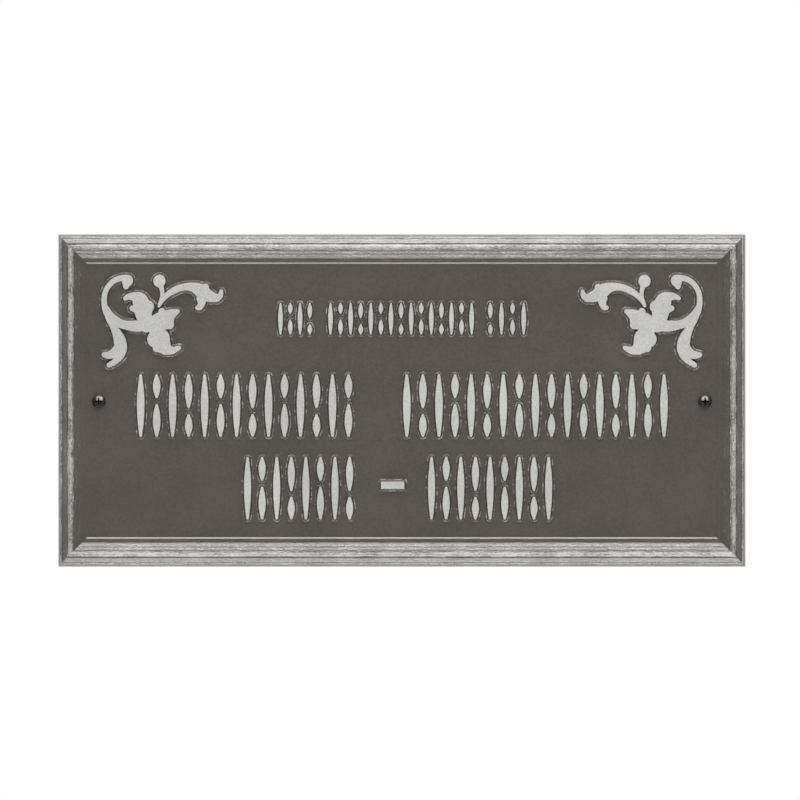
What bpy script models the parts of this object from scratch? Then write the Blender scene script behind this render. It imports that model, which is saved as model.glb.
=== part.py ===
"""Cast memorial plaque: a moulded frame round a low field, with two corner scrolls and three rows of
raised strokes, held to a wall by two pan-head screws. Metres, +Z up, the face looks towards -Y.
The back plane is y = 0, and the origin is the middle of the back."""

import math

import bmesh
import bpy
import numpy as np

# Plaque
PLAQUE_WIDTH = 0.394
PLAQUE_HEIGHT = 0.1905
FIELD_THICKNESS = 0.0050
RELIEF_HEIGHT = 0.0020
RELIEF_SPREAD = 0.0011
RELIEF_ROOT = 0.0005

# Frame moulding, from the outer edge inwards
EDGE_LAND = 0.0010
SIDE_DRAFT = 0.0014
SIDE_RISE = 0.0042
ARRIS_WIDTH = 0.0006
ARRIS_RISE = 0.0004
COVE_WIDTH = 0.0034
COVE_RISE = 0.0022
COVE_SWEEP = 1.6
QUIRK_WIDTH = 0.0005
QUIRK_DEPTH = 0.0003
BEAD_WIDTH = 0.0028
BEAD_RISE = 0.0020
STEP_WIDTH = 0.0002
STEP_DROP = 0.0012
LIP_WIDTH = 0.0018
LIP_DROP = 0.0009
RAMP_WIDTH = 0.0032
RAMP_SWEEP = 1.25
MARGIN_WIDTH = 0.0023
MARGIN_STEP = 0.0005
MARGIN_SLOPE = 0.0009
CURVE_STEPS = 4

# Back of the casting
RIM_WIDTH = 0.0120
RIB_WIDTH = 0.0120
POCKET_DEPTH = 0.0020
POCKET_DRAFT = 0.0010
BOSS_WALL = 0.0065
BOSS_SIDES = 32

# Screws
SCREW_SIDE_GAP = 0.0025
SCREW_DROP = 0.0005
SHANK_DIAMETER = 0.0042
SHANK_CLEARANCE = 0.0004
HEAD_DIAMETER = 0.0078
HEAD_HEIGHT = 0.0027
HEAD_SQUARENESS = 2.1
SEAT_GAP = 0.0003
SCREW_LENGTH = 0.0320
POINT_LENGTH = 0.0050
RECESS_SPAN = 0.0046
RECESS_WING = 0.0010
RECESS_DEPTH = 0.0020
RECESS_TAPER = 0.35
HOLE_DIAMETER = SHANK_DIAMETER + 2 * SHANK_CLEARANCE
SCREW_SIDES = 24

# Corner scrolls
SCROLL_HEIGHT = 0.0532
SCROLL_SIDE_GAP = 0.0080
SCROLL_TOP_GAP = 0.0064
SPINE_STEPS = 2
CAP_STEPS = 4
STROKE_CAP_STEPS = 2
DISC_SIDES = 14

# Rows of strokes
# A span is where a group of strokes starts and ends, from the plaque's middle. The middle row's outer
# ends keep a clear gap to the screws' heads, so its spans are set further down, after the screws' places.
LEFT_ROW_GAP = 0.0181
RIGHT_ROW_GAP = 0.0176
ROWS = {
    "top": {"height": 0.0178, "stroke": 0.0024, "pitch": 0.00575,
            "spans": ((-0.0707, -0.0515), (-0.0421, 0.0411), (0.0494, 0.0709))},
    "middle": {"height": 0.0356, "stroke": 0.0040, "pitch": 0.00905, "inner_ends": (-0.0286, 0.0008)},
    "bottom": {"height": 0.0356, "stroke": 0.0037, "pitch": 0.00845,
               "spans": ((-0.0902, -0.0281), (0.0151, 0.0858))},
}
BAR_WIDTH = 0.0132
BAR_HEIGHT = 0.0038
BAR_X = -0.0053
BAR_LIFT = 0.0017
STACK_GAP = 0.0036
ROW_GAP_SHARES = (0.334, 0.341, 0.174, 0.151)

# One scroll, in hundredths of its height from its outer side and its lowest tip.
# Each stroke is a centre line of (across, up, half width).
SCROLL_STROKES = {
    "curl_end": ((28.2, 94.3, 5.6), (27, 91, 5), (26.3, 88, 3)),
    "curl": ((28, 97, 3), (21.5, 96.8, 2.8), (15, 94.8, 2.6), (10, 91.2, 2.6), (6, 86, 2.6), (3.6, 80.5, 2.6),
             (2.8, 74.5, 2.8), (3.2, 67, 3), (5.4, 59.5, 3.4)),
    "stalk": ((4.5, 64.5, 3), (8.5, 57.5, 3.8), (13.5, 51.8, 4.6), (20, 48, 4.4), (26.5, 46.2, 4.5),
              (33, 45.4, 5.3), (40.5, 45.4, 5.8), (47.5, 47, 5.5)),
    "tail": ((5.4, 61, 3), (8, 52.5, 3), (12.2, 45.5, 3.3), (16.2, 38, 4.7), (18.8, 32, 6),
             (20.2, 26.5, 6.5), (20.5, 21, 6.8)),
    "tail_outer_tip": ((18.5, 21.5, 5.5), (13.5, 16.2, 4.8), (8, 14, 3.9), (2.6, 14.3, 2.4)),
    "tail_inner_tip": ((20.5, 19, 6.3), (19.5, 13.5, 4.5), (16.3, 9, 3.3), (12.5, 5.8, 2.8), (8, 3.3, 2.4)),
    "crest": ((48, 45.5, 7), (45.8, 54.5, 8), (44.8, 61, 9.3), (43.5, 67, 9.3), (41.5, 72.5, 8.3)),
    "crest_shoulder": ((49.8, 66, 6.5),),
    "crest_hook": ((41, 75.2, 6), (35.5, 76.8, 4.6), (29.5, 77, 3), (25.3, 75, 2)),
    "crest_lobe": ((37.5, 63.5, 4.5), (33, 64.3, 2.8)),
    "side_petal": ((53.5, 47, 6.5), (61.5, 50, 9), (68.5, 51.2, 9.5)),
    "side_tip": ((69, 54, 8), (76, 58.3, 5), (82, 61, 2)),
    "side_shoulder": ((64.8, 60.8, 3.5),),
    "side_heel": ((73.2, 46.5, 4.5),),
    "low_petal": ((57.5, 41.5, 6.5), (62, 32.7, 10.8), (65.2, 25.2, 9)),
    "low_shoulder": ((58, 31, 8.7),),
    "low_heel": ((59.3, 21.8, 4.3),),
    "low_tip": ((69, 21, 6.7), (76, 19, 3.8), (83.6, 21.8, 1.9)),
    "stamen_ball": ((62.2, 93.6, 6.4),),
    "stamen": ((63.8, 88.5, 2.6), (65.2, 82, 2), (65, 75.5, 2), (62.8, 69.5, 1.8), (61.4, 66.5, 1)),
    "leaf": ((62, 67.2, 1.5), (65.5, 73.6, 2.3), (71, 79, 2.8), (78.5, 83.8, 3.3), (87.5, 87, 3.3),
             (97, 87.2, 4.5), (104, 84.7, 6.5), (109.7, 81, 7.8)),
    "leaf_shoulder": ((112.2, 87, 3.3),),
    "leaf_tip": ((111, 79.3, 7), (119, 76.3, 5.2), (124, 75.2, 3.7)),
    "leaf_hook": ((123.5, 74.8, 3.5), (127.5, 77.8, 3), (128.8, 82.3, 1.9)),
    "leaf_drop": ((107.5, 75, 5.3), (107.5, 70, 4), (105.5, 65.5, 3), (102.8, 65, 2)),
}
SCROLL_PERCENT = SCROLL_HEIGHT / 100

# A row's stroke along its length: place in shares of the length, half width in shares of the widest.
STROKE_BODY = ((-0.5, 0.35), (-0.22, 0.88), (0.14, 1.00), (0.5, 0.35))

# Columns of a row, in turn: the strokes stacked in each, from the top, as shares of their whole length.
COLUMNS = ((1.0,), (0.42, 0.58), (1.0,), (0.60, 0.40))

QUIRK_TOP = EDGE_LAND + SIDE_RISE + ARRIS_RISE + COVE_RISE
CROWN_HEIGHT = QUIRK_TOP - QUIRK_DEPTH + BEAD_RISE
MARGIN_HEIGHT = FIELD_THICKNESS + MARGIN_STEP
BOSS_DIAMETER = HOLE_DIAMETER + 2 * BOSS_WALL
CUT_MARGIN = 0.002


def moulding_profile():
    """Steps of the frame as (inset from the step before, height above the back)."""
    steps = [(SIDE_DRAFT, EDGE_LAND + SIDE_RISE), (ARRIS_WIDTH, EDGE_LAND + SIDE_RISE + ARRIS_RISE)]
    base = steps[-1][1]
    for number in range(1, CURVE_STEPS + 1):
        share = number / CURVE_STEPS
        steps.append((COVE_WIDTH / CURVE_STEPS, base + COVE_RISE * share ** COVE_SWEEP))
    steps.append((QUIRK_WIDTH, QUIRK_TOP - QUIRK_DEPTH))
    bead_base = steps[-1][1]
    inset = 0.0
    for number in range(1, 2 * CURVE_STEPS):
        turn = math.pi * number / (2 * CURVE_STEPS)
        across = BEAD_WIDTH / 2 * (1 - math.cos(turn))
        steps.append((across - inset, bead_base + BEAD_RISE * math.sin(turn)))
        inset = across
    steps.append((BEAD_WIDTH - inset + STEP_WIDTH, CROWN_HEIGHT - STEP_DROP))
    lip_height = CROWN_HEIGHT - STEP_DROP - LIP_DROP
    steps.append((LIP_WIDTH, lip_height))
    for number in range(1, CURVE_STEPS + 1):
        drop = (lip_height - MARGIN_HEIGHT) * (number / CURVE_STEPS) ** RAMP_SWEEP
        steps.append((RAMP_WIDTH / CURVE_STEPS, lip_height - drop))
    steps.append((MARGIN_WIDTH, MARGIN_HEIGHT))
    steps.append((MARGIN_SLOPE, FIELD_THICKNESS))
    return steps


FRAME_WIDTH = sum(step[0] for step in moulding_profile())
FIELD_HALF_WIDTH = PLAQUE_WIDTH / 2 - FRAME_WIDTH
FIELD_HALF_HEIGHT = PLAQUE_HEIGHT / 2 - FRAME_WIDTH
SCREW_X = FIELD_HALF_WIDTH - SCREW_SIDE_GAP - HEAD_DIAMETER / 2
HEAD_INNER_X = SCREW_X - HEAD_DIAMETER / 2
ROWS["middle"]["spans"] = ((LEFT_ROW_GAP - HEAD_INNER_X, ROWS["middle"]["inner_ends"][0]),
                           (ROWS["middle"]["inner_ends"][1], HEAD_INNER_X - RIGHT_ROW_GAP))


def new_material(name, colour, metallic, roughness):
    material = bpy.data.materials.new(name)
    material.use_nodes = True
    shader = material.node_tree.nodes["Principled BSDF"]
    shader.inputs["Base Color"].default_value = (*colour, 1.0)
    shader.inputs["Metallic"].default_value = metallic
    shader.inputs["Roughness"].default_value = roughness
    return material


def new_object(name, mesh, collection, material=None):
    thing = bpy.data.objects.new(name, mesh)
    collection.objects.link(thing)
    if material:
        mesh.materials.append(material)
    return thing


def finish_mesh(name, shape):
    bmesh.ops.recalc_face_normals(shape, faces=shape.faces[:])
    mesh = bpy.data.meshes.new(name)
    shape.to_mesh(mesh)
    shape.free()
    return mesh


def new_cutter(name, mesh, collection):
    cutter = new_object(name, mesh, collection)
    cutter.hide_render = True
    cutter.display_type = 'WIRE'
    return cutter


def boolean(thing, operation, operand):
    """Joins or cuts thing with one object, or with every object of a collection."""
    modifier = thing.modifiers.new(f"{operation.lower()} {operand.name}", 'BOOLEAN')
    modifier.operation = operation
    modifier.solver = 'EXACT'
    if isinstance(operand, bpy.types.Collection):
        modifier.operand_type = 'COLLECTION'
        modifier.collection = operand
    else:
        modifier.object = operand


def smooth_line(points, steps):
    """A smooth curve through points of (across, up, half width)."""
    points = np.array(points, float)
    if len(points) == 1:
        return points
    ends = np.vstack([2 * points[0] - points[1], points, 2 * points[-1] - points[-2]])
    curve = []
    for before, start, end, after in zip(ends, ends[1:], ends[2:], ends[3:]):
        for share in np.arange(steps) / steps:
            curve.append(0.5 * (2 * start + (end - before) * share
                                + (2 * before - 5 * start + 4 * end - after) * share ** 2
                                + (3 * start - before - 3 * end + after) * share ** 3))
    curve.append(points[-1])
    return np.array(curve)


def round_end(centre, side, radius, steps):
    """Points of a half circle that turns clockwise from one side of a stroke's end to the other."""
    start = math.atan2(side[1], side[0])
    turns = [start - math.pi * number / steps for number in range(1, steps)]
    return [centre + radius * np.array((math.cos(turn), math.sin(turn))) for turn in turns]


def stroke_outline(curve, spread, cap_steps):
    """Outline round a tapered stroke, spread wider than its own half widths."""
    centres = curve[:, :2]
    reach = curve[:, 2] + spread
    if len(curve) == 1:
        turns = np.arange(DISC_SIDES) * 2 * math.pi / DISC_SIDES
        return centres[0] + reach[0] * np.stack([np.cos(turns), np.sin(turns)], axis=1)
    along = np.gradient(centres, axis=0)
    along /= np.linalg.norm(along, axis=1)[:, None]
    side = np.stack([-along[:, 1], along[:, 0]], axis=1)
    left = centres + side * reach[:, None]
    right = centres - side * reach[:, None]
    outline = list(left) + round_end(centres[-1], side[-1], reach[-1], cap_steps)
    outline += list(right[::-1]) + round_end(centres[0], -side[0], reach[0], cap_steps)
    return np.array(outline)


def bar_outline(width, height, spread):
    half_width = width / 2 + spread
    half_height = height / 2 + spread
    return np.array(((-half_width, -half_height), (half_width, -half_height),
                     (half_width, half_height), (-half_width, half_height)))


def raise_relief(name, outline, place, collection):
    """A low body with drafted sides that rises from the field. outline gives its rim for a spread."""
    draft = RELIEF_SPREAD / RELIEF_HEIGHT
    levels = ((RELIEF_SPREAD + draft * RELIEF_ROOT, FIELD_THICKNESS - RELIEF_ROOT),
              (0.0, FIELD_THICKNESS + RELIEF_HEIGHT))
    shape = bmesh.new()
    rings = []
    for spread, height in levels:
        ring = [shape.verts.new((across + place[0], -height, up + place[1]))
                for across, up in outline(spread)]
        shape.faces.new(ring)
        rings.append(ring)
    for number, vertex in enumerate(rings[0]):
        shape.faces.new((rings[0][number - 1], vertex, rings[1][number], rings[1][number - 1]))
    return new_cutter(name, finish_mesh(name, shape), collection)


def add_scroll(side, collection):
    """One corner scroll. side is -1 at the left corner and 1 at the right, where it is mirrored."""
    outer_x = side * (FIELD_HALF_WIDTH - SCROLL_SIDE_GAP)
    lowest_z = FIELD_HALF_HEIGHT - SCROLL_TOP_GAP - SCROLL_HEIGHT
    for name, points in SCROLL_STROKES.items():
        curve = smooth_line(points, SPINE_STEPS) * SCROLL_PERCENT

        def outline(spread, curve=curve):
            rim = stroke_outline(curve, spread, CAP_STEPS)
            rim[:, 0] *= -side
            return rim

        raise_relief(f"{name} {side}", outline, (outer_x, lowest_z), collection)


def add_column(name, lengths, x, top_z, height, stroke_width, collection):
    """Strokes stacked one above the other, pointed at both ends, fuller towards the row's edges."""
    half_width = stroke_width / 2
    room = height - STACK_GAP * (len(lengths) - 1)
    for number, share in enumerate(lengths):
        length = share * room
        belly = 1 if number == 0 else -1
        body = length - half_width * (STROKE_BODY[0][1] + STROKE_BODY[-1][1])
        curve = np.array([(0.0, belly * along * body, width * half_width) for along, width in STROKE_BODY])
        raise_relief(f"{name} {number}",
                     lambda spread, curve=curve: stroke_outline(curve, spread, STROKE_CAP_STEPS),
                     (x, top_z - length / 2), collection)
        top_z -= length + STACK_GAP


def add_row(name, row, middle_z, collection):
    """A row of upright strokes. Each group's columns are spread evenly over its span."""
    number = 0
    for start, end in row["spans"]:
        room = end - start - row["stroke"]
        gaps = round(room / row["pitch"])
        for column in range(gaps + 1):
            x = start + row["stroke"] / 2 + room * column / gaps
            add_column(f"{name} {number}", COLUMNS[number % len(COLUMNS)], x, middle_z + row["height"] / 2,
                       row["height"], row["stroke"], collection)
            number += 1


def add_rows(collection):
    """Three rows of strokes and a short bar, with the spare height of the field shared between the rows."""
    spare = 2 * FIELD_HALF_HEIGHT - sum(row["height"] for row in ROWS.values())
    edge = FIELD_HALF_HEIGHT
    for share, (name, row) in zip(ROW_GAP_SHARES, ROWS.items()):
        edge -= share * spare + row["height"]
        add_row(name, row, edge + row["height"] / 2, collection)
    bar_z = edge + ROWS["bottom"]["height"] / 2 + BAR_LIFT
    raise_relief("bar", lambda spread: bar_outline(BAR_WIDTH, BAR_HEIGHT, spread), (BAR_X, bar_z), collection)


def add_cylinder(name, diameter, front, back, place, sides, collection):
    """A straight round cutter along Y, from a height before the back plane to one behind it."""
    shape = bmesh.new()
    bmesh.ops.create_cone(shape, cap_ends=True, segments=sides, radius1=diameter / 2,
                          radius2=diameter / 2, depth=front + back)
    cutter = new_cutter(name, finish_mesh(name, shape), collection)
    cutter.rotation_euler = (math.pi / 2, 0.0, 0.0)
    x, z = place
    cutter.location = (x, (back - front) / 2, z)
    return cutter


def add_pocket(side, bosses, collection):
    """One half of the hollow back, above or below the middle rib, cut round the screw bosses."""
    width = PLAQUE_WIDTH - 2 * RIM_WIDTH
    height = PLAQUE_HEIGHT / 2 - RIM_WIDTH - RIB_WIDTH / 2
    draft = POCKET_DRAFT / POCKET_DEPTH
    shape = bmesh.new()
    bmesh.ops.create_cube(shape, size=1.0)
    for vertex in shape.verts:
        inner = vertex.co.y < 0
        shrink = POCKET_DRAFT if inner else -draft * CUT_MARGIN
        vertex.co.x *= width - 2 * shrink
        vertex.co.z *= height - 2 * shrink
        vertex.co.y = -POCKET_DEPTH if inner else CUT_MARGIN
    name = f"pocket {side}"
    pocket = new_cutter(name, finish_mesh(name, shape), collection)
    pocket.location.z = side * (RIB_WIDTH + height) / 2
    for boss in bosses:
        boolean(pocket, 'DIFFERENCE', boss)
    return pocket


def add_plaque(parts, cutters, material):
    """The casting: a slab whose front is stepped inwards into the frame and the field."""
    shape = bmesh.new()
    bmesh.ops.create_cube(shape, size=1.0)
    bmesh.ops.scale(shape, vec=(PLAQUE_WIDTH, EDGE_LAND, PLAQUE_HEIGHT), verts=shape.verts)
    bmesh.ops.translate(shape, vec=(0.0, -EDGE_LAND / 2, 0.0), verts=shape.verts)
    shape.normal_update()
    front = min(shape.faces, key=lambda face: face.calc_center_median().y)
    height = EDGE_LAND
    for inset, next_height in moulding_profile():
        bmesh.ops.inset_region(shape, faces=[front], thickness=inset, depth=next_height - height,
                               use_even_offset=True)
        height = next_height
    plaque = new_object("plaque", finish_mesh("plaque", shape), parts, material)

    collections = {}
    for name in ("Pockets", "Relief", "Screw holes"):
        collections[name] = bpy.data.collections.new(name)
        cutters.children.link(collections[name])

    bosses = [add_cylinder(f"boss {side}", BOSS_DIAMETER, FIELD_THICKNESS, 2 * CUT_MARGIN,
                           (side * SCREW_X, -SCREW_DROP), BOSS_SIDES, cutters) for side in (-1, 1)]
    for side in (-1, 1):
        add_pocket(side, bosses, collections["Pockets"])
        add_scroll(side, collections["Relief"])
        add_cylinder(f"hole {side}", HOLE_DIAMETER, CROWN_HEIGHT + CUT_MARGIN, CUT_MARGIN,
                     (side * SCREW_X, -SCREW_DROP), SCREW_SIDES, collections["Screw holes"])
    add_rows(collections["Relief"])

    boolean(plaque, 'DIFFERENCE', collections["Pockets"])
    boolean(plaque, 'UNION', collections["Relief"])
    boolean(plaque, 'DIFFERENCE', collections["Screw holes"])
    return plaque


def screw_profile():
    """Half section from the top of the head down to the point, as (radius, height above the seat)."""
    points = []
    steps = 2 * CURVE_STEPS
    power = 2 / HEAD_SQUARENESS
    for number in range(steps + 1):
        turn = math.pi / 2 * number / steps
        points.append((HEAD_DIAMETER / 2 * math.sin(turn) ** power,
                       HEAD_HEIGHT * abs(math.cos(turn)) ** power))
    points[0] = (0.0, HEAD_HEIGHT)
    points[-1] = (HEAD_DIAMETER / 2, 0.0)
    points.append((SHANK_DIAMETER / 2, 0.0))
    points.append((SHANK_DIAMETER / 2, POINT_LENGTH - SCREW_LENGTH))
    points.append((0.0, -SCREW_LENGTH))
    return points


def add_screw(name, x, parts, cutters, material):
    """A whole pan-head screw with a cross recess, its head just clear of the field."""
    mesh = bpy.data.meshes.new(name)
    points = screw_profile()
    edges = [(number, number + 1) for number in range(len(points) - 1)]
    mesh.from_pydata([(radius, 0.0, height) for radius, height in points], edges, [])
    screw = new_object(name, mesh, parts, material)
    screw.rotation_euler = (math.pi / 2, 0.0, 0.0)
    screw.location = (x, -(FIELD_THICKNESS + SEAT_GAP), -SCREW_DROP)
    turned = screw.modifiers.new("turned", 'SCREW')
    turned.steps = SCREW_SIDES
    turned.render_steps = SCREW_SIDES
    turned.use_merge_vertices = True
    turned.merge_threshold = 0.00001

    for wing, turn in (("upright", 0.0), ("level", math.pi / 2)):
        shape = bmesh.new()
        bmesh.ops.create_cube(shape, size=1.0)
        for vertex in shape.verts:
            deep = vertex.co.z < 0
            vertex.co.x *= RECESS_SPAN * (RECESS_TAPER if deep else 1.0)
            vertex.co.y *= RECESS_WING * (1 - RECESS_TAPER if deep else 1.0)
            vertex.co.z = HEAD_HEIGHT - RECESS_DEPTH if deep else HEAD_HEIGHT + CUT_MARGIN
        cutter = new_cutter(f"{name} {wing} wing", finish_mesh(f"{name} {wing}", shape), cutters)
        cutter.rotation_euler = (math.pi / 2, turn, 0.0)
        cutter.location = screw.location
        boolean(screw, 'DIFFERENCE', cutter)
    return screw


def main():
    for thing in list(bpy.data.objects):
        bpy.data.objects.remove(thing)
    scene_root = bpy.context.scene.collection
    parts = bpy.data.collections.new("Commemorative plaque")
    cutters = bpy.data.collections.new("Cutters")
    scene_root.children.link(parts)
    scene_root.children.link(cutters)

    pewter = new_material("Pewter painted casting", (0.092, 0.084, 0.074), 0.6, 0.5)
    black = new_material("Black screw", (0.012, 0.012, 0.013), 0.7, 0.25)
    add_plaque(parts, cutters, pewter)
    add_screw("screw_left", -SCREW_X, parts, cutters, black)
    add_screw("screw_right", SCREW_X, parts, cutters, black)


main()
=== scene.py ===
import math

import bmesh
import bpy
import numpy as np
from mathutils import Matrix, Vector, noise


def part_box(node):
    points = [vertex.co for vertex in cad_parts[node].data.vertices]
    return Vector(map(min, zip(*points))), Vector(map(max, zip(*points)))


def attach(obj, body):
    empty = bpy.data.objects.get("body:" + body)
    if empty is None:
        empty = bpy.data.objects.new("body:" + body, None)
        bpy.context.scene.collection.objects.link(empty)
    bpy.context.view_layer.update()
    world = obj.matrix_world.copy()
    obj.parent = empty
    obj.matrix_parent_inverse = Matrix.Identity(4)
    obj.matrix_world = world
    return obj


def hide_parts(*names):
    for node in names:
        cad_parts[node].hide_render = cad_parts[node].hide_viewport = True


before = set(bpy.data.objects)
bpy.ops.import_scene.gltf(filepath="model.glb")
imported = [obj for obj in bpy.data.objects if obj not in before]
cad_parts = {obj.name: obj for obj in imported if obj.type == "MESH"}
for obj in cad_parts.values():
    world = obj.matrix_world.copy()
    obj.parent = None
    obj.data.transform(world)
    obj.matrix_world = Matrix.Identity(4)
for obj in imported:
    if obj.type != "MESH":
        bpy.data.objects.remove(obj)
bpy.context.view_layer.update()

# Casting
# The plate is one piece of cast aluminium with a stepped moulding round a low field. It is painted dark
# pewter all over, then silver is wiped over the raised faces and the moulding's high lines. Its colour also
# holds painted highlight on the slope and round the relief's foot, and painted shade on the relief's walls.
plate_low, plate_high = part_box("plaque")
PLATE_HALF_WIDTH = plate_high[0]
PLATE_HALF_HEIGHT = plate_high[2]
FIELD_THICKNESS = 0.0050
MARGIN_HEIGHT = FIELD_THICKNESS + 0.0005
EDGE_LAND = 0.0010
BACK_ROUND = 0.0003
BACK_STEPS = ((0.00008, 0.00017), (0.0002, 0.00013))
LONG_EDGE = 0.02
RAIL_CUTS = 130
STILE_CUTS = 62
WOBBLE_SIZE = 0.005
WOBBLE_DEPTH = 0.00007
WOBBLE_ACROSS = 0.00010
WOBBLE_FADE = 0.0008
WOBBLE_FROM = 0.0012
WOBBLE_TO = 0.0168
WOBBLE_SEED = 4
COVE_START = 0.0028
COVE_WIDTH = 0.0024
COVE_FOOT = 0.00579
COVE_RISE = 0.00187
COVE_SWEEP = 1.12
BEAD_START = 0.0059
BEAD_WIDTH = 0.0028
BEAD_FOOT = 0.0075
BEAD_RISE = 0.0019
# Points of the moulding's section, as (distance in from the edge, height above the back).
OUTER_EDGE = ((0.0, EDGE_LAND), (0.0007, 0.0031), (0.0013, 0.0050))
ARRIS = ((0.0015, 0.00540), (0.0018, 0.0056), (0.0021, 0.00568), (0.0024, 0.00571), (0.0028, 0.00579))
QUIRK = ((0.0055, 0.00766), (0.0057, 0.00764), (0.0059, 0.00761))
RIPPLED_SLOPE = ((0.0087, 0.0084), (0.0090, 0.0083), (0.0094, 0.00818), (0.0098, 0.00802),
                 (0.0102, 0.00784), (0.0106, 0.00760), (0.0109, 0.00738), (0.0112, 0.00724),
                 (0.0115, 0.00714), (0.0118, 0.00702), (0.0121, 0.00685), (0.0124, 0.00665),
                 (0.0127, 0.00642), (0.0130, 0.00616), (0.0133, 0.00590), (0.0136, 0.00570),
                 (0.0139, 0.00558), (0.0142, 0.00553), (0.0146, 0.00551))
MARGIN = ((0.0150, MARGIN_HEIGHT), (0.0161, MARGIN_HEIGHT))
LIP = ((0.0163, 0.00547), (0.0166, 0.00530), (0.0169, 0.00508), (0.0171, FIELD_THICKNESS))


def frame_section():
    """The moulding's section from the outer edge inwards, as (distance in, height above the back)."""
    section = [*OUTER_EDGE, *ARRIS]
    for share in np.linspace(0.15, 1.0, 7):
        section.append((COVE_START + COVE_WIDTH * share, COVE_FOOT + COVE_RISE * share ** COVE_SWEEP))
    section += QUIRK
    for turn in np.linspace(0.10, 0.90, 11) * math.pi:
        section.append((BEAD_START + BEAD_WIDTH / 2 * (1 - math.cos(turn)),
                        BEAD_FOOT + BEAD_RISE * math.sin(turn)))
    return section + [*RIPPLED_SLOPE, *MARGIN, *LIP]


def cast_plate():
    """A thin box whose front is inset step by step along the section, with mitred corners."""
    shape = bmesh.new()
    bmesh.ops.create_cube(shape, size=1.0)
    for vertex in shape.verts:
        vertex.co.x *= 2 * PLATE_HALF_WIDTH
        vertex.co.z *= 2 * PLATE_HALF_HEIGHT
        vertex.co.y = -EDGE_LAND if vertex.co.y < 0 else -BACK_ROUND
    shape.normal_update()
    front = min(shape.faces, key=lambda face: face.calc_center_median().y)
    back = max(shape.faces, key=lambda face: face.calc_center_median().y)
    section = frame_section()
    for (last_in, last_height), (next_in, next_height) in zip(section, section[1:]):
        bmesh.ops.inset_region(shape, faces=[front], thickness=next_in - last_in,
                               depth=next_height - last_height, use_even_offset=True)
    for inset, rise in BACK_STEPS:
        bmesh.ops.inset_region(shape, faces=[back], thickness=inset, depth=rise, use_even_offset=True)
    bmesh.ops.delete(shape, geom=[front, back], context='FACES_ONLY')
    for axis, cuts in ((0, RAIL_CUTS), (2, STILE_CUTS)):
        level = [edge for edge in shape.edges
                 if abs(edge.verts[0].co[axis] - edge.verts[1].co[axis]) > LONG_EDGE]
        bmesh.ops.subdivide_edges(shape, edges=level, cuts=cuts, use_grid_fill=True)
    for vertex in shape.verts:
        place = vertex.co
        inward = min(PLATE_HALF_WIDTH - abs(place.x), PLATE_HALF_HEIGHT - abs(place.z))
        strength = min(max((inward - WOBBLE_FROM) / WOBBLE_FADE, 0.0),
                       max((WOBBLE_TO - inward) / WOBBLE_FADE, 0.0), 1.0)
        if strength > 0 and -place.y > EDGE_LAND:
            drift = noise.noise_vector(place / WOBBLE_SIZE)
            place.y += drift.y * WOBBLE_DEPTH * strength
            if PLATE_HALF_WIDTH - abs(place.x) > PLATE_HALF_HEIGHT - abs(place.z):
                place.z += drift.z * WOBBLE_ACROSS * strength
            else:
                place.x += drift.x * WOBBLE_ACROSS * strength
    rims = [edge for edge in shape.edges if edge.is_boundary]
    bmesh.ops.holes_fill(shape, edges=rims, sides=0)
    bmesh.ops.recalc_face_normals(shape, faces=shape.faces)
    return shape


def object_from(name, shape):
    """A new object at the origin from a finished bmesh."""
    mesh = bpy.data.meshes.new(name)
    shape.to_mesh(mesh)
    shape.free()
    thing = bpy.data.objects.new(name, mesh)
    bpy.context.scene.collection.objects.link(thing)
    return thing


noise.seed_set(WOBBLE_SEED)
casting = object_from("casting", cast_plate())

# Back of the casting
# The hidden side is hollowed in two shallow pockets, with a rim all round and a rib across the middle that
# ties the two screw bosses together. It is as cast, under the same pewter paint.
RIM_WIDTH = 0.0120
RIB_WIDTH = 0.0120
POCKET_DEPTH = 0.0020
POCKET_DRAFT = 0.0010
POCKET_CORNER = 0.0040
POCKET_FLOOR_ROUND = 0.0005
BOSS_RADIUS = 0.0090
BOSS_FRONT = -0.006
BOSS_BACK = 0.004
HOLE_RADIUS = 0.0025
HOLE_FRONT = -0.012
CUT_MARGIN = 0.002
screw_low, screw_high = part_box("screw_right")
SCREW_X = (screw_low[0] + screw_high[0]) / 2
SCREW_Z = (screw_low[2] + screw_high[2]) / 2


def cast_pocket(side):
    """The core that leaves one pocket: a drafted slab with rounded corners."""
    width = 2 * (PLATE_HALF_WIDTH - RIM_WIDTH)
    height = PLATE_HALF_HEIGHT - RIM_WIDTH - RIB_WIDTH / 2
    shape = bmesh.new()
    bmesh.ops.create_cube(shape, size=1.0)
    draft = POCKET_DRAFT / POCKET_DEPTH
    for vertex in shape.verts:
        deep = vertex.co.y < 0
        shrink = POCKET_DRAFT if deep else -draft * CUT_MARGIN
        vertex.co.x *= width - 2 * shrink
        vertex.co.z = vertex.co.z * (height - 2 * shrink) + side * (RIB_WIDTH + height) / 2
        vertex.co.y = -POCKET_DEPTH if deep else CUT_MARGIN
    corners = [edge for edge in shape.edges if abs(edge.verts[0].co.y - edge.verts[1].co.y) > POCKET_DEPTH]
    bmesh.ops.bevel(shape, geom=corners, offset=POCKET_CORNER, affect='EDGES', segments=6, profile=0.5,
                    material=-1)
    floor_edges = [edge for edge in shape.edges
                   if max(abs(vertex.co.y + POCKET_DEPTH) for vertex in edge.verts) < 1e-6]
    bmesh.ops.bevel(shape, geom=floor_edges, offset=POCKET_FLOOR_ROUND, affect='EDGES', segments=3,
                    profile=0.5, material=-1)
    return shape


def turned_core(radius, front, back, side):
    """A round core along Y round one screw, for its boss or its hole."""
    shape = bmesh.new()
    bmesh.ops.create_cone(shape, cap_ends=True, segments=48, radius1=radius, radius2=radius,
                          depth=back - front)
    bmesh.ops.rotate(shape, verts=shape.verts, matrix=Matrix.Rotation(math.pi / 2, 3, 'X'))
    bmesh.ops.translate(shape, vec=(side * SCREW_X, (front + back) / 2, SCREW_Z), verts=shape.verts)
    return shape


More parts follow.
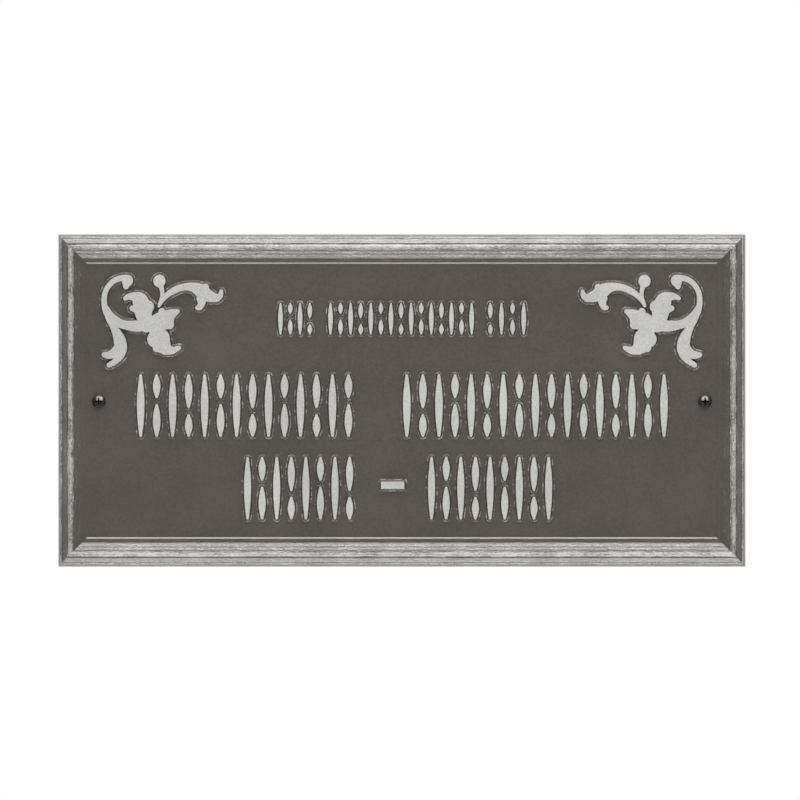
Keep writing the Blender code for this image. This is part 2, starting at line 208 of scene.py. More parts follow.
def combine(thing, operation, tools):
    """Joins the tool objects to thing, or cuts them from it, bakes the result and removes the tools."""
    group = bpy.data.collections.new("tools")
    bpy.context.scene.collection.children.link(group)
    for tool in tools:
        bpy.context.scene.collection.objects.unlink(tool)
        group.objects.link(tool)
    step = thing.modifiers.new(operation, 'BOOLEAN')
    step.operation = operation
    step.solver = 'EXACT'
    step.operand_type = 'COLLECTION'
    step.collection = group
    baked = bpy.data.meshes.new_from_object(thing.evaluated_get(bpy.context.evaluated_depsgraph_get()))
    thing.modifiers.clear()
    thing.data = baked
    for tool in tools:
        bpy.data.objects.remove(tool)
    bpy.data.collections.remove(group)


pockets = []
for side in (-1, 1):
    pocket = object_from(f"pocket core {side}", cast_pocket(side))
    combine(pocket, 'DIFFERENCE', [
        object_from(f"boss {end}", turned_core(BOSS_RADIUS, BOSS_FRONT, BOSS_BACK, end)) for end in (-1, 1)])
    pockets.append(pocket)
combine(casting, 'DIFFERENCE', pockets)

# Corner scrolls
# A leafy scroll in each upper corner, cast with the plate: a curling stem, a split tail, three petals round
# the middle, and a berry and a long leaf above. Drafted sides, soft at the foot and the upper edge.
SCROLL_HEIGHT = 0.0532
SCROLL_SIDE_GAP = 0.0080
SCROLL_TOP_GAP = 0.0064
SCROLL_PERCENT = SCROLL_HEIGHT / 100
FRAME_WIDTH = 0.0171
FIELD_HALF_WIDTH = PLATE_HALF_WIDTH - FRAME_WIDTH
FIELD_HALF_HEIGHT = PLATE_HALF_HEIGHT - FRAME_WIDTH
RELIEF_SECTION = ((0.00185, -0.00030), (0.00168, -0.00002), (0.00155, 0.00006), (0.00120, 0.00010),
                  (0.00102, 0.00015), (0.00084, 0.00036), (0.00062, 0.00085), (0.00032, 0.00155),
                  (0.00012, 0.00188), (0.0, 0.00200))
scroll_strokes = {
    "curl_end": ((28.2, 94.3, 5.6), (27, 91, 5), (26.3, 88, 3)),
    "curl": ((28, 97, 3), (21.5, 96.8, 2.8), (15, 94.8, 2.6), (10, 91.2, 2.6), (6, 86, 2.6), (3.6, 80.5, 2.6),
             (2.8, 74.5, 2.8), (3.2, 67, 3), (5.4, 59.5, 3.4)),
    "stalk": ((4.5, 64.5, 3), (8.5, 57.5, 3.8), (13.5, 51.8, 4.6), (20, 48, 4.4), (26.5, 46.2, 4.5),
              (33, 45.4, 5.3), (40.5, 45.4, 5.8), (47.5, 47, 5.5)),
    "tail": ((5.4, 61, 3), (8, 52.5, 3), (12.2, 45.5, 3.3), (16.2, 38, 4.7), (18.8, 32, 6),
             (20.2, 26.5, 6.5), (20.5, 21, 6.8)),
    "tail_outer_tip": ((18.5, 21.5, 5.5), (13.5, 16.2, 4.8), (8, 14, 3.9), (2.6, 14.3, 2.4)),
    "tail_inner_tip": ((20.5, 19, 6.3), (19.5, 13.5, 4.5), (16.3, 9, 3.3), (12.5, 5.8, 2.8), (8, 3.3, 2.4)),
    "crest": ((48, 45.5, 7), (45.8, 54.5, 8), (44.8, 61, 9.3), (43.5, 67, 9.3), (41.5, 72.5, 8.3)),
    "crest_shoulder": ((49.8, 66, 6.5),),
    "crest_hook": ((41, 75.2, 6), (35.5, 76.8, 4.6), (29.5, 77, 3), (25.3, 75, 2)),
    "crest_lobe": ((37.5, 63.5, 4.5), (33, 64.3, 2.8)),
    "side_petal": ((53.5, 47, 6.5), (61.5, 50, 9), (68.5, 51.2, 9.5)),
    "side_tip": ((69, 54, 8), (76, 58.3, 5), (82, 61, 2)),
    "side_shoulder": ((64.8, 60.8, 3.5),),
    "side_heel": ((73.2, 46.5, 4.5),),
    "low_petal": ((57.5, 41.5, 6.5), (62, 32.7, 10.8), (65.2, 25.2, 9)),
    "low_shoulder": ((58, 31, 8.7),),
    "low_heel": ((59.3, 21.8, 4.3),),
    "low_tip": ((69, 21, 6.7), (76, 19, 3.8), (83.6, 21.8, 1.9)),
    "berry": ((62.2, 93.6, 6.4),),
    "stem": ((63.8, 88.5, 2.6), (65.2, 82, 2), (65, 75.5, 2), (62.8, 69.5, 1.8), (61.4, 66.5, 1)),
    "leaf": ((62, 67.2, 1.5), (65.5, 73.6, 2.3), (71, 79, 2.8), (78.5, 83.8, 3.3), (87.5, 87, 3.3),
             (97, 87.2, 4.5), (104, 84.7, 6.5), (109.7, 81, 7.8)),
    "leaf_shoulder": ((112.2, 87, 3.3),),
    "leaf_tip": ((111, 79.3, 7), (119, 76.3, 5.2), (124, 75.2, 3.7)),
    "leaf_hook": ((123.5, 74.8, 3.5), (127.5, 77.8, 3), (128.8, 82.3, 1.9)),
    "leaf_drop": ((107.5, 75, 5.3), (107.5, 70, 4), (105.5, 65.5, 3), (102.8, 65, 2)),
}


def smooth_line(points, steps):
    """A smooth curve through points of (across, up, half width)."""
    points = np.array(points, float)
    if len(points) == 1:
        return points
    ends = np.vstack([2 * points[0] - points[1], points, 2 * points[-1] - points[-2]])
    curve = []
    for before, start, end, after in zip(ends, ends[1:], ends[2:], ends[3:]):
        for share in np.arange(steps) / steps:
            curve.append(0.5 * (2 * start + (end - before) * share
                                + (2 * before - 5 * start + 4 * end - after) * share ** 2
                                + (3 * start - before - 3 * end + after) * share ** 3))
    curve.append(points[-1])
    return np.array(curve)


def stroke_outline(curve, spread, cap_steps):
    """Outline round a tapered stroke, spread wider than its own half widths."""
    centres = curve[:, :2]
    reach = curve[:, 2] + spread
    if len(curve) == 1:
        turns = np.arange(4 * cap_steps) * math.pi / (2 * cap_steps)
        return centres[0] + reach[0] * np.stack([np.cos(turns), np.sin(turns)], axis=1)
    along = np.gradient(centres, axis=0)
    along /= np.linalg.norm(along, axis=1)[:, None]
    side = np.stack([-along[:, 1], along[:, 0]], axis=1)
    outline = list(centres + side * reach[:, None])
    for end, sign in ((-1, 1), (0, -1)):
        start = math.atan2(sign * side[end][1], sign * side[end][0])
        for number in range(1, cap_steps):
            turn = start - math.pi * number / cap_steps
            outline.append(centres[end] + reach[end] * np.array((math.cos(turn), math.sin(turn))))
        if end == -1:
            outline += list((centres - side * reach[:, None])[::-1])
    return np.array(outline)


def raise_relief(outline, place, mirror=1):
    """A low drafted body on the field. outline gives its rim for a spread, from the foot to the face."""
    shape = bmesh.new()
    rings = []
    for spread, rise in RELIEF_SECTION:
        ring = [shape.verts.new((mirror * across + place[0], -(FIELD_THICKNESS + rise), up + place[1]))
                for across, up in outline(spread)]
        for vertex, last in zip(ring, rings[-1] if rings else ()):
            shape.edges.new((vertex, last))
        for number, vertex in enumerate(ring):
            shape.edges.new((ring[number - 1], vertex))
        rings.append(ring)
    shape.faces.new(rings[0])
    shape.faces.new(rings[-1])
    for lower, upper in zip(rings, rings[1:]):
        for number, vertex in enumerate(lower):
            shape.faces.new((lower[number - 1], vertex, upper[number], upper[number - 1]))
    bmesh.ops.recalc_face_normals(shape, faces=shape.faces)
    return shape


relief = []
for side in (-1, 1):
    place = (side * (FIELD_HALF_WIDTH - SCROLL_SIDE_GAP), FIELD_HALF_HEIGHT - SCROLL_TOP_GAP - SCROLL_HEIGHT)
    for name, points in scroll_strokes.items():
        curve = smooth_line(points, 4) * SCROLL_PERCENT
        shape = raise_relief(lambda spread: stroke_outline(curve, spread, 6), place, -side)
        relief.append(object_from(f"{name} {side}", shape))

# Rows of strokes
# Three rows of plain upright strokes stand on the field, pointed at both ends, every second one parted, with
# a short bar in the lowest row. They are as high as the scrolls and wiped with the same silver.
STACK_GAP = 0.0036
STROKE_BODY = ((-0.5, 0.35), (-0.22, 0.88), (0.14, 1.00), (0.5, 0.35))
COLUMNS = ((1.0,), (0.42, 0.58), (1.0,), (0.60, 0.40))
ROW_GAP_SHARES = (0.334, 0.341, 0.174, 0.151)
BAR_HALF_WIDTH = 0.0066
BAR_HALF_HEIGHT = 0.0019
BAR_X = -0.0053
BAR_LIFT = 0.0017
CREASE_ANGLE = math.radians(24)
rows = (
    {"height": 0.0178, "stroke": 0.0024, "pitch": 0.00575,
     "spans": ((-0.0707, -0.0515), (-0.0421, 0.0411), (0.0494, 0.0709))},
    {"height": 0.0356, "stroke": 0.0040, "pitch": 0.00905,
     "spans": ((-0.1515, -0.0286), (0.0008, 0.1520))},
    {"height": 0.0356, "stroke": 0.0037, "pitch": 0.00845,
     "spans": ((-0.0902, -0.0281), (0.0151, 0.0858))},
)


def add_column(x, top_z, row, lengths):
    """Strokes stacked one above the other, fuller towards the row's edges."""
    half_width = row["stroke"] / 2
    for number, share in enumerate(lengths):
        length = share * (row["height"] - STACK_GAP * (len(lengths) - 1))
        belly = 1 if number == 0 else -1
        body = length - half_width * (STROKE_BODY[0][1] + STROKE_BODY[-1][1])
        curve = smooth_line([(0.0, belly * along * body, width * half_width) for along, width in STROKE_BODY],
                            3)
        shape = raise_relief(lambda spread: stroke_outline(curve, spread, 4), (x, top_z - length / 2))
        relief.append(object_from(f"stroke {len(relief)}", shape))
        top_z -= length + STACK_GAP


def bar_outline(spread):
    """A plain rectangle with its corners just rounded."""
    across = BAR_HALF_WIDTH + spread
    up = BAR_HALF_HEIGHT + spread
    corner = 0.0002 + spread / 2
    outline = []
    for quarter, (x_sign, z_sign) in enumerate(((1, 1), (-1, 1), (-1, -1), (1, -1))):
        for turn in np.linspace(quarter, quarter + 1, 4) * math.pi / 2:
            outline.append((x_sign * (across - corner) + corner * math.cos(turn),
                            z_sign * (up - corner) + corner * math.sin(turn)))
    return outline


spare_height = 2 * FIELD_HALF_HEIGHT - sum(row["height"] for row in rows)
edge = FIELD_HALF_HEIGHT
for row, gap_share in zip(rows, ROW_GAP_SHARES):
    edge -= gap_share * spare_height
    columns = 0
    for start, end in row["spans"]:
        room = end - start - row["stroke"]
        gaps = round(room / row["pitch"])
        for column in range(gaps + 1):
            add_column(start + row["stroke"] / 2 + room * column / gaps, edge, row,
                       COLUMNS[columns % len(COLUMNS)])
            columns += 1
    edge -= row["height"]
bar_z = edge + rows[-1]["height"] / 2 + BAR_LIFT
relief.append(object_from("bar", raise_relief(bar_outline, (BAR_X, bar_z))))
combine(casting, 'UNION', relief)
combine(casting, 'DIFFERENCE', [
    object_from(f"hole {end}", turned_core(HOLE_RADIUS, HOLE_FRONT, CUT_MARGIN, end)) for end in (-1, 1)])
casting.data.shade_smooth()
casting.data.set_sharp_from_angle(angle=CREASE_ANGLE)
weigh = casting.modifiers.new("weigh", 'WEIGHTED_NORMAL')
weigh.keep_sharp = True
casting.data = bpy.data.meshes.new_from_object(
    casting.evaluated_get(bpy.context.evaluated_depsgraph_get()))
casting.modifiers.clear()

# Finish of the casting
# Satin pewter paint with a fine orange peel covers everything. Silver is wiped over the relief faces and
# brushed along the arris, the bead and the ripples of the slope, where it breaks up over the grain. The
# silver on the slope's ripples is partly painted highlight, weaker on the stiles as painted shade; a broken
# silver line round the relief's foot is painted highlight, and the relief's walls get a painted shade tone.
FACE_EDGE = FIELD_THICKNESS + 0.00178
FACE_FADE = 0.00008
FIELD_FADE = 0.0002
# Silver lines along the frame, as (from, to, cover), in metres in from the edge. The slope lines are partly
# wiped silver and partly painted highlight, standing for the lamps' sheen on the slope's ripples.
RIDGE_LINES = ((0.0015, 0.0023, 0.64), (0.0057, 0.0092, 0.64))
SLOPE_SILVER_AND_HIGHLIGHT_LINES = ((0.0098, 0.0111, 0.53), (0.0109, 0.0119, 0.45), (0.0117, 0.0131, 0.52))
LINE_SOFTNESS = 0.0005
LINE_STRAY = 0.0018
# Painted shade: the slope lines are weaker on the stiles, whose slopes no lamp shines on.
STILE_SLOPE_SHADE_SHARE = 0.78
STILE_FILM_SHARE = 0.5
FILM_BAND = (-0.0010, 0.0056, 0.0004)
FILM_COVER = 0.40
RUN_STRETCH = 0.45
DEPTH_STRETCH = 0.8
DRIFT_SHARE = 0.4
PATCH_SHARE = 0.9
FINE_TONE_SHARE = 0.6
DARK_TONES = ((0.041, 0.0350, 0.0295, 1), (0.062, 0.0520, 0.0435, 1))
SILVER_TONES = ((0.262, 0.263, 0.253, 1), (0.350, 0.351, 0.338, 1))
# Painted shade on the relief's walls.
FLANK_PAINTED_SHADE = (0.050, 0.044, 0.038, 1)
PEEL_DEPTH = 0.00010
SAND_DEPTH = 0.00040
BUMP_STRENGTH = 0.8
pewter = bpy.data.materials.new("pewter_casting")
pewter.use_nodes = True


def add_node(tree, kind, links=None, **settings):
    """The output of a new shader node. links gives its inputs, by name or number, as sockets or values."""
    node = tree.nodes.new(kind)
    for name, value in settings.items():
        setattr(node, name, value)
    usable = [socket for socket in node.inputs if socket.enabled]
    for name, value in (links or {}).items():
        if isinstance(name, int):
            socket = usable[name]
        else:
            socket = next(socket for socket in usable if socket.name == name)
        if isinstance(value, bpy.types.NodeSocket):
            tree.links.new(value, socket)
        else:
            socket.default_value = value
    return next(socket for socket in node.outputs if socket.enabled)


def add_math(tree, operation, *values):
    """A math node on sockets or numbers."""
    return add_node(tree, 'ShaderNodeMath', dict(enumerate(values)), operation=operation)


def add_ramp(tree, value, low, high, start=0.0, end=1.0):
    """Goes smoothly from start to end while value goes from low to high."""
    return add_node(tree, 'ShaderNodeMapRange', {'Value': value, 'From Min': low, 'From Max': high,
                                                 'To Min': start, 'To Max': end},
                    interpolation_type='SMOOTHSTEP')


def add_band(tree, value, low, high, soft):
    """One between low and high, fading to nothing over soft at either end."""
    return add_math(tree, 'MULTIPLY', add_ramp(tree, value, low - soft / 2, low + soft / 2),
                    add_ramp(tree, value, high - soft / 2, high + soft / 2, 1.0, 0.0))


def add_noise(tree, place, scale, detail=2.0, roughness=0.5):
    """Noise over place, in features per metre."""
    return add_node(tree, 'ShaderNodeTexNoise', {'Vector': place, 'Scale': scale, 'Detail': detail,
                                                 'Roughness': roughness})


def add_mix(tree, share, first, second):
    """A colour between first and second."""
    return add_node(tree, 'ShaderNodeMix', {'Factor': share, 'A': first, 'B': second}, data_type='RGBA')


tree = pewter.node_tree
place = tree.nodes.new('ShaderNodeTexCoord').outputs['Object']
parts = tree.nodes.new('ShaderNodeSeparateXYZ')
tree.links.new(place, parts.inputs[0])
height = add_math(tree, 'MULTIPLY', parts.outputs['Y'], -1.0)
stile_in = add_math(tree, 'SUBTRACT', PLATE_HALF_WIDTH, add_math(tree, 'ABSOLUTE', parts.outputs['X']))
rail_in = add_math(tree, 'SUBTRACT', PLATE_HALF_HEIGHT, add_math(tree, 'ABSOLUTE', parts.outputs['Z']))
inward = add_math(tree, 'MINIMUM', stile_in, rail_in)
on_stile = add_math(tree, 'LESS_THAN', stile_in, rail_in)
along = add_node(tree, 'ShaderNodeMix', {'Factor': on_stile, 'A': parts.outputs['X'],
                                         'B': parts.outputs['Z']})
rail_place = add_node(tree, 'ShaderNodeCombineXYZ', {
    'X': add_math(tree, 'MULTIPLY', along, RUN_STRETCH), 'Y': inward,
    'Z': add_math(tree, 'MULTIPLY', add_node(tree, 'ShaderNodeMix', {
        'Factor': on_stile, 'A': parts.outputs['Z'], 'B': parts.outputs['X']}), DEPTH_STRETCH)})

grain = add_noise(tree, place, 900.0, 3.0, 0.65)
brushed = add_noise(tree, rail_place, 1500.0, 4.0, 0.7)
drift = add_noise(tree, rail_place, 160.0, 2.0)
drift = add_math(tree, 'MULTIPLY', add_math(tree, 'SUBTRACT', drift, 0.5), DRIFT_SHARE)
patches = add_math(tree, 'ADD', brushed, drift)
silver_and_highlight_cover = add_math(tree, 'MULTIPLY', add_band(tree, inward, *FILM_BAND), FILM_COVER)
stray = add_math(tree, 'SUBTRACT', add_noise(tree, rail_place, 420.0, 3.0, 0.6), 0.5)
ragged = add_math(tree, 'ADD', inward, add_math(tree, 'MULTIPLY', stray, LINE_STRAY))
# Painted shade: the slope's silver and painted highlight are weaker on the stiles.
slope_shade_share = add_ramp(tree, on_stile, 0.0, 1.0, 1.0, STILE_SLOPE_SHADE_SHARE)
for low, high, strength in RIDGE_LINES + SLOPE_SILVER_AND_HIGHLIGHT_LINES:
    line = add_math(tree, 'MULTIPLY', add_band(tree, ragged, low, high, LINE_SOFTNESS), strength)
    if (low, high, strength) in SLOPE_SILVER_AND_HIGHLIGHT_LINES:
        line = add_math(tree, 'MULTIPLY', line, slope_shade_share)
    silver_and_highlight_cover = add_math(tree, 'MAXIMUM', silver_and_highlight_cover, line)
rise = add_math(tree, 'SUBTRACT', height, FIELD_THICKNESS)
on_field = add_ramp(tree, inward, FRAME_WIDTH, FRAME_WIDTH + FIELD_FADE)
# Painted highlight: a thin, broken silver line round the foot of the relief, where its fillet meets the
# field.
foot = add_math(tree, 'MULTIPLY', on_field, add_band(tree, rise, 0.00003, 0.00013, 0.00004))
foot_highlight_breaks = add_ramp(tree, add_noise(tree, place, 190.0, 3.0, 0.75), 0.40, 0.62, 0.36, 0.64)
silver_and_highlight_cover = add_math(tree, 'MAXIMUM', silver_and_highlight_cover, add_math(tree, 'MULTIPLY', foot, foot_highlight_breaks))
faces = add_math(tree, 'MULTIPLY', on_field, add_ramp(tree, height, FACE_EDGE, FACE_EDGE + FACE_FADE))
silver_and_highlight_cover = add_math(tree, 'MAXIMUM', silver_and_highlight_cover, faces)
# The silver mask also carries the painted highlights at the relief's foot and on the slope.
silver_and_highlight = add_ramp(tree, add_math(tree, 'ADD', silver_and_highlight_cover, add_math(tree, 'MULTIPLY', patches, PATCH_SHARE)),
                  0.90, 1.20)
film = add_math(tree, 'MULTIPLY', add_band(tree, inward, *FILM_BAND),
                add_ramp(tree, on_stile, 0.0, 1.0, 1.0, STILE_FILM_SHARE))
silver_and_highlight = add_math(tree, 'MAXIMUM', silver_and_highlight,
                  add_math(tree, 'MULTIPLY', film, add_ramp(tree, patches, 0.38, 0.62, 0.08, 0.36)))
# The back and the pockets get no silver: the outer edge counts as 1.6 mm further forward than the rest.
forward = add_math(tree, 'ADD', height, add_ramp(tree, inward, 0.0060, 0.0070, 0.0016, 0.0))
silver_and_highlight = add_math(tree, 'MULTIPLY', silver_and_highlight, add_ramp(tree, forward, 0.0021, 0.0026))

tone = add_math(tree, 'ADD', add_math(tree, 'MULTIPLY', add_noise(tree, place, 25.0, 3.0, 0.6),
                                      1 - FINE_TONE_SHARE),
                add_math(tree, 'MULTIPLY', grain, FINE_TONE_SHARE))
dark = add_mix(tree, add_ramp(tree, tone, 0.36, 0.64), *DARK_TONES)
light = add_mix(tree, add_ramp(tree, tone, 0.36, 0.64), *SILVER_TONES)
# Painted shade: the relief's walls get a flat dark tone.
flank = add_math(tree, 'MULTIPLY', on_field, add_band(tree, rise, 0.00016, 0.00130, 0.00004))
dark = add_mix(tree, flank, dark, FLANK_PAINTED_SHADE)
peel = add_noise(tree, place, 1100.0, 2.0, 0.55)
sand = add_noise(tree, rail_place, 1100.0, 3.0, 0.6)
peel = add_math(tree, 'ADD', peel, add_math(tree, 'MULTIPLY', silver_and_highlight, 0.5))
bump = add_node(tree, 'ShaderNodeBump', {'Height': peel, 'Strength': BUMP_STRENGTH, 'Distance': PEEL_DEPTH})
on_frame = add_ramp(tree, inward, 0.0165, 0.0160)
bump = add_node(tree, 'ShaderNodeBump', {
    'Height': add_math(tree, 'MULTIPLY', sand, on_frame), 'Strength': BUMP_STRENGTH,
    'Distance': SAND_DEPTH, 'Normal': bump})
shader = tree.nodes["Principled BSDF"]
shader.inputs['Specular IOR Level'].default_value = 1.0
tree.links.new(add_mix(tree, silver_and_highlight, dark, light), shader.inputs['Base Color'])
tree.links.new(add_ramp(tree, silver_and_highlight, 0.0, 1.0, 0.25, 0.15), shader.inputs['Metallic'])
tree.links.new(add_ramp(tree, silver_and_highlight, 0.0, 1.0, 0.33, 0.50), shader.inputs['Roughness'])
tree.links.new(bump, shader.inputs['Normal'])
casting.data.materials.clear()
casting.data.materials.append(pewter)

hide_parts("plaque")
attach(casting, "root")

# Screws
# Two black pan-head screws hold the plaque, one near each end. Each has a turned head with a cross recess,
# a plain neck and a rolled wood thread down to its point, all in gloss black. The recess is painted darker
# and given almost no specular, as painted shade.
HEAD_RADIUS = 0.0039
HEAD_HEIGHT = 0.0027
HEAD_SQUARENESS = 2.1
NECK_RADIUS = 0.0021
NECK_LENGTH = 0.0100
CORE_RADIUS = 0.0015
THREAD_END = -0.0320
POINT_LENGTH = 0.0050
PITCH = 0.0014
TURN_STEPS = 32
RECESS_SPAN = 0.0046
RECESS_WING = 0.0010
RECESS_DEPTH = 0.0020
RECESS_TAPER = 0.35
SEAT_GAP = 0.0003
SEAT_Y = -(FIELD_THICKNESS + SEAT_GAP)
HEAD_SEGMENTS = 64
# One pitch of the thread, as (share of the pitch, share of its depth).
THREAD_SECTION = ((0.0, 0.0), (0.52, 0.0), (0.72, 1.0), (0.80, 1.0))
SCREW_CREASE = math.radians(32)
BLACK_TONES = ((0.0015, 0.0015, 0.0017, 1), (0.0035, 0.0035, 0.0038, 1))
# Painted shade inside the cross recess.
RECESS_SHADE_TONE = (0.001, 0.001, 0.001, 1)


def turned_shape(profile, segments):
    """A closed solid turned round Z from a half section of (radius, height)."""
    shape = bmesh.new()
    points = [shape.verts.new((radius, 0.0, height)) for radius, height in profile]
    line = [shape.edges.new(pair) for pair in zip(points, points[1:])]
    bmesh.ops.spin(shape, geom=points + line, cent=(0, 0, 0), axis=(0, 0, 1), angle=2 * math.pi,
                   steps=segments, use_merge=True)
    bmesh.ops.remove_doubles(shape, verts=shape.verts, dist=1e-7)
    bmesh.ops.recalc_face_normals(shape, faces=shape.faces)
    return shape


def screw_head():
    """Half section of the head and its plain neck."""
    power = 2 / HEAD_SQUARENESS
    profile = [(0.0, HEAD_HEIGHT)]
    for turn in np.linspace(0.0, 0.5, 25)[1:-1] * math.pi:
        profile.append((HEAD_RADIUS * math.sin(turn) ** power, HEAD_HEIGHT * math.cos(turn) ** power))
    return profile + [(HEAD_RADIUS, 0.0002), (HEAD_RADIUS - 0.00012, 0.0), (NECK_RADIUS, 0.0),
                      (NECK_RADIUS, -NECK_LENGTH), (CORE_RADIUS, -NECK_LENGTH - 0.0006),
                      (0.0, -NECK_LENGTH - 0.0006)]


def screw_recess(turn):
    """One tapered wing of the cross."""
    shape = bmesh.new()
    bmesh.ops.create_cube(shape, size=1.0)
    for vertex in shape.verts:
        deep = vertex.co.z < 0
        vertex.co.x *= RECESS_SPAN * (RECESS_TAPER if deep else 1.0)
        vertex.co.y *= RECESS_WING * (1 - RECESS_TAPER if deep else 1.0)
        vertex.co.z = HEAD_HEIGHT - RECESS_DEPTH if deep else HEAD_HEIGHT + CUT_MARGIN
    bmesh.ops.rotate(shape, verts=shape.verts, matrix=Matrix.Rotation(turn, 3, 'Z'))
    return shape


def screw_thread():
    """A single strip wound round the core. Each step has a root land, a flank, a crest and a flank."""
    shape = bmesh.new()
    turns = (-THREAD_END - NECK_LENGTH) / PITCH
    steps = int(turns * TURN_STEPS)
    rows = []
    for step in range(steps + 1):
        angle = 2 * math.pi * step / TURN_STEPS
        row = []
        for rise, share in THREAD_SECTION:
            z = max(THREAD_END, THREAD_END + PITCH * (step / TURN_STEPS + rise - 1.0))
            taper = min(1.0, (z - THREAD_END) / POINT_LENGTH)
            crest = taper * (CORE_RADIUS + share * (NECK_RADIUS - CORE_RADIUS))
            row.append(shape.verts.new((crest * math.cos(angle), crest * math.sin(angle), z)))
        rows.append(row)
    for step in range(steps):
        here, ahead = rows[step], rows[step + 1]
        if step + 1 + TURN_STEPS <= steps:
            here = here + [rows[step + TURN_STEPS][0]]
            ahead = ahead + [rows[step + 1 + TURN_STEPS][0]]
        for column in range(len(here) - 1):
            shape.faces.new((here[column], ahead[column], ahead[column + 1], here[column + 1]))
    bmesh.ops.remove_doubles(shape, verts=shape.verts, dist=1e-7)
    bmesh.ops.recalc_face_normals(shape, faces=shape.faces)
    return shape


black = bpy.data.materials.new("black_screw")
black.use_nodes = True
tree = black.node_tree
place = tree.nodes.new('ShaderNodeTexCoord').outputs['Object']
mottle = add_noise(tree, place, 900.0, 3.0, 0.6)
parts = tree.nodes.new('ShaderNodeSeparateXYZ')
tree.links.new(place, parts.inputs[0])
across = add_math(tree, 'ABSOLUTE', add_math(tree, 'SUBTRACT', add_math(tree, 'ABSOLUTE', parts.outputs['X']),
                                             SCREW_X))
up = add_math(tree, 'ABSOLUTE', add_math(tree, 'SUBTRACT', parts.outputs['Z'], SCREW_Z))
wing = add_math(tree, 'LESS_THAN', add_math(tree, 'MINIMUM', across, up), RECESS_WING / 2)
reach = add_math(tree, 'LESS_THAN', add_math(tree, 'MAXIMUM', across, up), RECESS_SPAN / 2)
front = add_math(tree, 'LESS_THAN', parts.outputs['Y'], SEAT_Y)
recess = add_math(tree, 'MULTIPLY', front, add_math(tree, 'MULTIPLY', wing, reach))
shader = tree.nodes["Principled BSDF"]
paint = add_mix(tree, add_ramp(tree, mottle, 0.3, 0.7), *BLACK_TONES)
# Painted shade: the cross recess is coloured darker and loses most of its specular.
tree.links.new(add_mix(tree, recess, paint, RECESS_SHADE_TONE), shader.inputs['Base Color'])
tree.links.new(add_ramp(tree, mottle, 0.3, 0.7, 0.20, 0.30), shader.inputs['Roughness'])
tree.links.new(add_ramp(tree, recess, 0.0, 1.0, 0.4, 0.05), shader.inputs['Specular IOR Level'])
tree.links.new(add_node(tree, 'ShaderNodeBump', {'Height': mottle, 'Strength': 0.2, 'Distance': 0.00002}),
               shader.inputs['Normal'])

screws = []
for name, side in (("left", -1), ("right", 1)):
    head = object_from(f"screw_head_{name}", turned_shape(screw_head(), HEAD_SEGMENTS))
    combine(head, 'DIFFERENCE', [object_from(f"wing {name} {turn}", screw_recess(turn * math.pi / 2))
                                 for turn in (0, 1)])
    shape = bmesh.new()
    shape.from_mesh(head.data)
    bpy.data.objects.remove(head)
    thread_mesh = object_from("thread", screw_thread())
    shape.from_mesh(thread_mesh.data)
    bpy.data.objects.remove(thread_mesh)
    bmesh.ops.rotate(shape, verts=shape.verts, matrix=Matrix.Rotation(math.pi / 2, 3, 'X'))
    bmesh.ops.translate(shape, vec=(side * SCREW_X, SEAT_Y, SCREW_Z), verts=shape.verts)
    screw = object_from(f"fixing_screw_{name}", shape)
    screws.append(screw)
    screw.data.shade_smooth()
    screw.data.set_sharp_from_angle(angle=SCREW_CREASE)
    screw.data.materials.clear()
    screw.data.materials.append(black)
    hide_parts(f"screw_{name}")
    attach(screw, "root")

# Floor
# A plain pale floor lies well below the plaque, which hangs clear of it.
FLOOR_SIZE = 6.0
FLOOR_DROP = 0.95
shape = bmesh.new()
bmesh.ops.create_grid(shape, x_segments=1, y_segments=1, size=FLOOR_SIZE / 2)
bmesh.ops.translate(shape, vec=(0.0, 0.0, plate_low[2] - FLOOR_DROP), verts=shape.verts)
floor = object_from("floor", shape)
pale = bpy.data.materials.new("pale_floor")
pale.use_nodes = True
tree = pale.node_tree
place = tree.nodes.new('ShaderNodeTexCoord').outputs['Object']
tree.links.new(add_mix(tree, add_noise(tree, place, 3.0), (0.78, 0.78, 0.78, 1), (0.82, 0.82, 0.82, 1)),
               tree.nodes["Principled BSDF"].inputs['Base Color'])
floor.data.materials.append(pale)

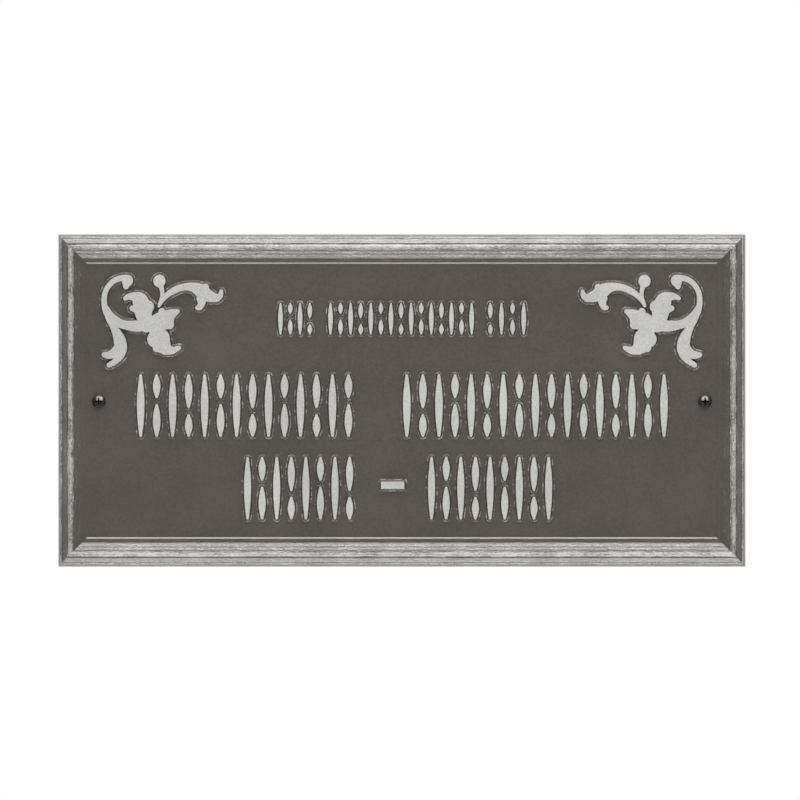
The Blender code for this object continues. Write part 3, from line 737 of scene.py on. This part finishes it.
# Light
# A white room, dimmer in front, with one long soft light above and in front and a weaker one below. The
# screws' heads have a wide light of their own, and the one below leaves them out.
ROOM_TONE = (1.0, 0.985, 0.96, 1)
FRONT_STRENGTH = 0.40
world = bpy.data.worlds.new("studio")
bpy.context.scene.world = world
world.use_nodes = True
tree = world.node_tree
room = tree.nodes["Background"]
room.inputs['Color'].default_value = ROOM_TONE
direction = tree.nodes.new('ShaderNodeSeparateXYZ')
tree.links.new(tree.nodes.new('ShaderNodeTexCoord').outputs['Generated'], direction.inputs[0])
tree.links.new(add_ramp(tree, direction.outputs['Y'], -0.45, 0.15, FRONT_STRENGTH, 1.0),
               room.inputs['Strength'])
seen = tree.nodes.new('ShaderNodeBackground')
seen.inputs['Color'].default_value = (1, 1, 1, 1)
seen.inputs['Strength'].default_value = 1.0
choice = tree.nodes.new('ShaderNodeMixShader')
tree.links.new(tree.nodes.new('ShaderNodeLightPath').outputs['Is Camera Ray'], choice.inputs[0])
tree.links.new(room.outputs[0], choice.inputs[1])
tree.links.new(seen.outputs[0], choice.inputs[2])
tree.links.new(choice.outputs[0], tree.nodes["World Output"].inputs[0])


def add_light(name, place, width, depth, power):
    """A rectangular soft light aimed at the plaque."""
    lamp = bpy.data.lights.new(name, 'AREA')
    lamp.shape = 'RECTANGLE'
    lamp.size = width
    lamp.size_y = depth
    lamp.energy = power
    thing = bpy.data.objects.new(name, lamp)
    thing.location = place
    thing.rotation_euler = Vector(place).to_track_quat('Z', 'Y').to_euler()
    thing.visible_camera = False
    bpy.context.scene.collection.objects.link(thing)
    return thing


add_light("high light", place=(0.05, -0.50, 1.00), width=1.5, depth=0.8, power=29.6)
low_light = add_light("low light", place=(0.0, -0.46, -0.92), width=1.7, depth=0.58, power=17.2)
head_light = add_light("head light", place=(0.15, -1.20, 0.95), width=2.4, depth=1.4, power=150.0)
for lamp, state in ((low_light, 'EXCLUDE'), (head_light, 'INCLUDE')):
    group = bpy.data.collections.new(f"screws for {lamp.name}")
    for screw in screws:
        group.objects.link(screw)
    for entry in group.collection_objects:
        entry.light_linking.link_state = state
    lamp.light_linking.receiver_collection = group

# Camera
# Straight on from the front, far enough away to look nearly flat.
CAMERA_PLACE = (-0.0011, -2.4, 0.0003)
SENSOR_WIDTH = 36.0
LENS = 188.2
camera = bpy.data.objects.new("camera", bpy.data.cameras.new("camera"))
camera.location = CAMERA_PLACE
camera.rotation_euler = (math.pi / 2, 0.0, 0.0)
camera.data.sensor_width = SENSOR_WIDTH
camera.data.lens = LENS
bpy.context.scene.collection.objects.link(camera)
bpy.context.scene.camera = camera
bpy.context.scene.view_settings.view_transform = 'Standard'
